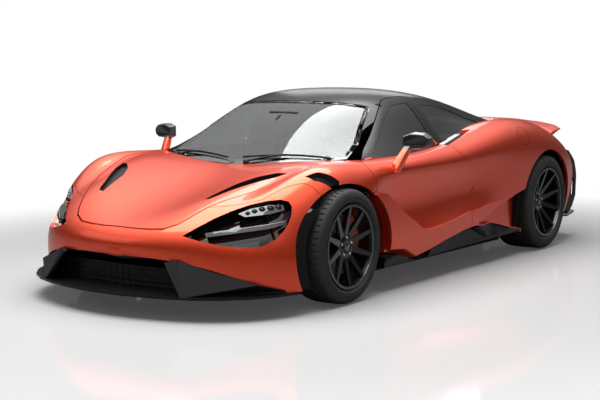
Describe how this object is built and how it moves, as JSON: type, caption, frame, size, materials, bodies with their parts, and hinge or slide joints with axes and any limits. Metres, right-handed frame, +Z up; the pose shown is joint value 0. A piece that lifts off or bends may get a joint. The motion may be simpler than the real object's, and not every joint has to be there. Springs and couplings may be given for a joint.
{
  "type": "supercar",
  "caption": "Low mid-engined two-seat coupe with upward-opening doors, steered front wheels, opening bonnet and tilting rear wing.",
  "frame": {"origin": "on the ground, midway between nose and tail, on the centre line", "axes": "-Y towards the nose, +X towards the car's left side, +Z up"},
  "size_m": [2.16, 4.6, 1.1899],
  "materials": {
    "paint": "metallic orange lacquer",
    "carbon": "dark gloss composite",
    "trim": "satin black",
    "glass": "dark tinted glass",
    "lamp": "dark lamp housing",
    "lamp_red": "red lens",
    "tyre": "black rubber",
    "rim": "satin black forged alloy",
    "cast": "cast alloy",
    "leather": "black suede and leather"
  },
  "bodies": {
    "body": {"tub": "carbon", "front_bumper": "paint", "fender_left": "paint", "fender_right": "paint", "quarter_left": "paint", "quarter_right": "paint", "rear_deck": "paint", "roof": "carbon", "windscreen": "glass", "rear_glass": "glass", "headlamp_left": "lamp", "headlamp_right": "lamp", "splitter": "carbon", "skirts": "carbon", "diffuser": "carbon", "rear_panel": "trim", "engine": "cast", "seats": "leather", "dashboard": "leather", "carrier_left": "cast", "carrier_right": "cast", "front_grille": "trim", "tail_lamps": "lamp_red", "arch_liners": "trim", "body_inserts": "trim", "wing_mounts": "carbon", "suspension_arms": "cast"},
    "bonnet": {"bonnet": "paint", "bonnet_vents": "trim"},
    "wing": {"wing": "carbon"},
    "door_left": {"door_left": "paint", "door_glass_left": "glass", "mirror_left": "trim"},
    "door_right": {"door_right": "paint", "door_glass_right": "glass", "mirror_right": "trim"},
    "steering_wheel": {"steering_wheel": "leather"},
    "knuckle_left": {"knuckle_left": "cast"},
    "knuckle_right": {"knuckle_right": "cast"},
    "wheel_front_left": {"tyre_front_left": "tyre", "rim_front_left": "rim"},
    "wheel_front_right": {"tyre_front_right": "tyre", "rim_front_right": "rim"},
    "wheel_rear_left": {"tyre_rear_left": "tyre", "rim_rear_left": "rim"},
    "wheel_rear_right": {"tyre_rear_right": "tyre", "rim_rear_right": "rim"}
  },
  "joints": [
    {"name": "door_left_open", "type": "hinge", "parent": "body", "child": "door_left", "pos_m": [0.8, -0.985, 0.8], "axis": [0.3534, -0.8661, -0.3534], "range_deg": [0, 80]},
    {"name": "door_right_open", "type": "hinge", "parent": "body", "child": "door_right", "pos_m": [-0.8, -0.985, 0.8], "axis": [0.3534, 0.8661, 0.3534], "range_deg": [0, 80]},
    {"name": "bonnet_open", "type": "hinge", "parent": "body", "child": "bonnet", "pos_m": [0, -0.95, 0.8], "axis": [-1, 0, 0], "range_deg": [0, 60]},
    {"name": "wing_tilt", "type": "hinge", "parent": "body", "child": "wing", "pos_m": [0, 2.11, 0.868], "axis": [1, 0, 0], "range_deg": [0, 50]},
    {"name": "steer_left", "type": "hinge", "parent": "body", "child": "knuckle_left", "pos_m": [0.745, -1.26, 0.327], "axis": [0, 0, 1], "range_deg": [-32, 32]},
    {"name": "steer_right", "type": "hinge", "parent": "body", "child": "knuckle_right", "pos_m": [-0.745, -1.26, 0.327], "axis": [0, 0, 1], "range_deg": [-32, 32]},
    {"name": "steering_wheel_turn", "type": "hinge", "parent": "body", "child": "steering_wheel", "pos_m": [0.36, -0.56, 0.64], "axis": [0, 0.9272, 0.3746], "range_deg": [-430, 430]},
    {"name": "spin_front_left", "type": "hinge", "parent": "knuckle_left", "child": "wheel_front_left", "pos_m": [0.837, -1.26, 0.327], "axis": [1, 0, 0], "continuous": true},
    {"name": "spin_front_right", "type": "hinge", "parent": "knuckle_right", "child": "wheel_front_right", "pos_m": [-0.837, -1.26, 0.327], "axis": [1, 0, 0], "continuous": true},
    {"name": "spin_rear_left", "type": "hinge", "parent": "body", "child": "wheel_rear_left", "pos_m": [0.808, 1.41, 0.3455], "axis": [1, 0, 0], "continuous": true},
    {"name": "spin_rear_right", "type": "hinge", "parent": "body", "child": "wheel_rear_right", "pos_m": [-0.808, 1.41, 0.3455], "axis": [1, 0, 0], "continuous": true}
  ],
  "couplings": [
    {"joint": "steer_right", "follows": "steer_left", "ratio": 1},
    {"joint": "steering_wheel_turn", "follows": "steer_left", "ratio": 13}
  ]
}
